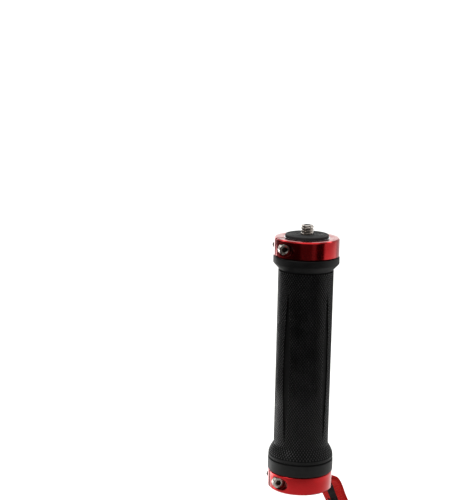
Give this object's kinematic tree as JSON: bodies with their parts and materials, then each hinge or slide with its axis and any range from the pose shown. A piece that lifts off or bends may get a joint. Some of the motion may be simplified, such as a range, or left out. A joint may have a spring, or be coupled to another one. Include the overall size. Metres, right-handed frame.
{
  "type": "camera hand grip",
  "caption": "Vertical lock-on hand grip with a knurled rubber sleeve, red split clamp rings, a camera stud on top and a striped wrist strap.",
  "frame": {"origin": "centre of the seat that the camera rests on, on top of the rubber pad", "axes": "+Z along the camera stud, away from the grip; the front of the grip faces -Y and +X is to its right"},
  "size_m": [0.0582, 0.0637, 0.3107],
  "materials": {
    "bare_aluminium": "turned",
    "red_anodised_aluminium": "red anodised, satin",
    "stainless_steel": "rolled thread, turned head",
    "blackened_steel": "black oxide",
    "grip_rubber": "moulded, fine diamond knurl",
    "pad_rubber": "matte",
    "black_nylon": "moulded",
    "slider_plastic": "moulded, fine texture",
    "strap_webbing": "woven, red edges and black middle",
    "strap_thread": "bar tack"
  },
  "bodies": {
    "handle": {"core_tube": "bare_aluminium", "top_cap": "bare_aluminium", "bottom_plug": "black_nylon", "strap_pin": "stainless_steel", "cap_grub_screws": "blackened_steel", "camera_stud": "stainless_steel", "stud_lock_nut": "stainless_steel", "camera_pad": "pad_rubber", "grip_liner": "black_nylon", "grip_sleeve": "grip_rubber", "upper_lock_ring": "red_anodised_aluminium", "lower_lock_ring": "red_anodised_aluminium", "wrist_strap": "strap_webbing", "strap_stitching": "strap_thread"},
    "upper_screw": {"upper_clamp_screw": "stainless_steel"},
    "lower_screw": {"lower_clamp_screw": "stainless_steel"},
    "slider": {"strap_slider": "slider_plastic"}
  },
  "joints": [
    {"name": "upper_screw_turn", "type": "hinge", "parent": "handle", "child": "upper_screw", "pos_m": [-0.01116, -0.00853, -0.006], "axis": [0.342, -0.9397, 0], "range_deg": [0, 360]},
    {"name": "lower_screw_turn", "type": "hinge", "parent": "handle", "child": "lower_screw", "pos_m": [-0.01116, -0.00853, -0.122], "axis": [0.342, -0.9397, 0], "range_deg": [0, 360]},
    {"name": "slider_slide", "type": "slide", "parent": "handle", "child": "slider", "axis": [0, 0, -1], "range_m": [0, 0.023]}
  ]
}
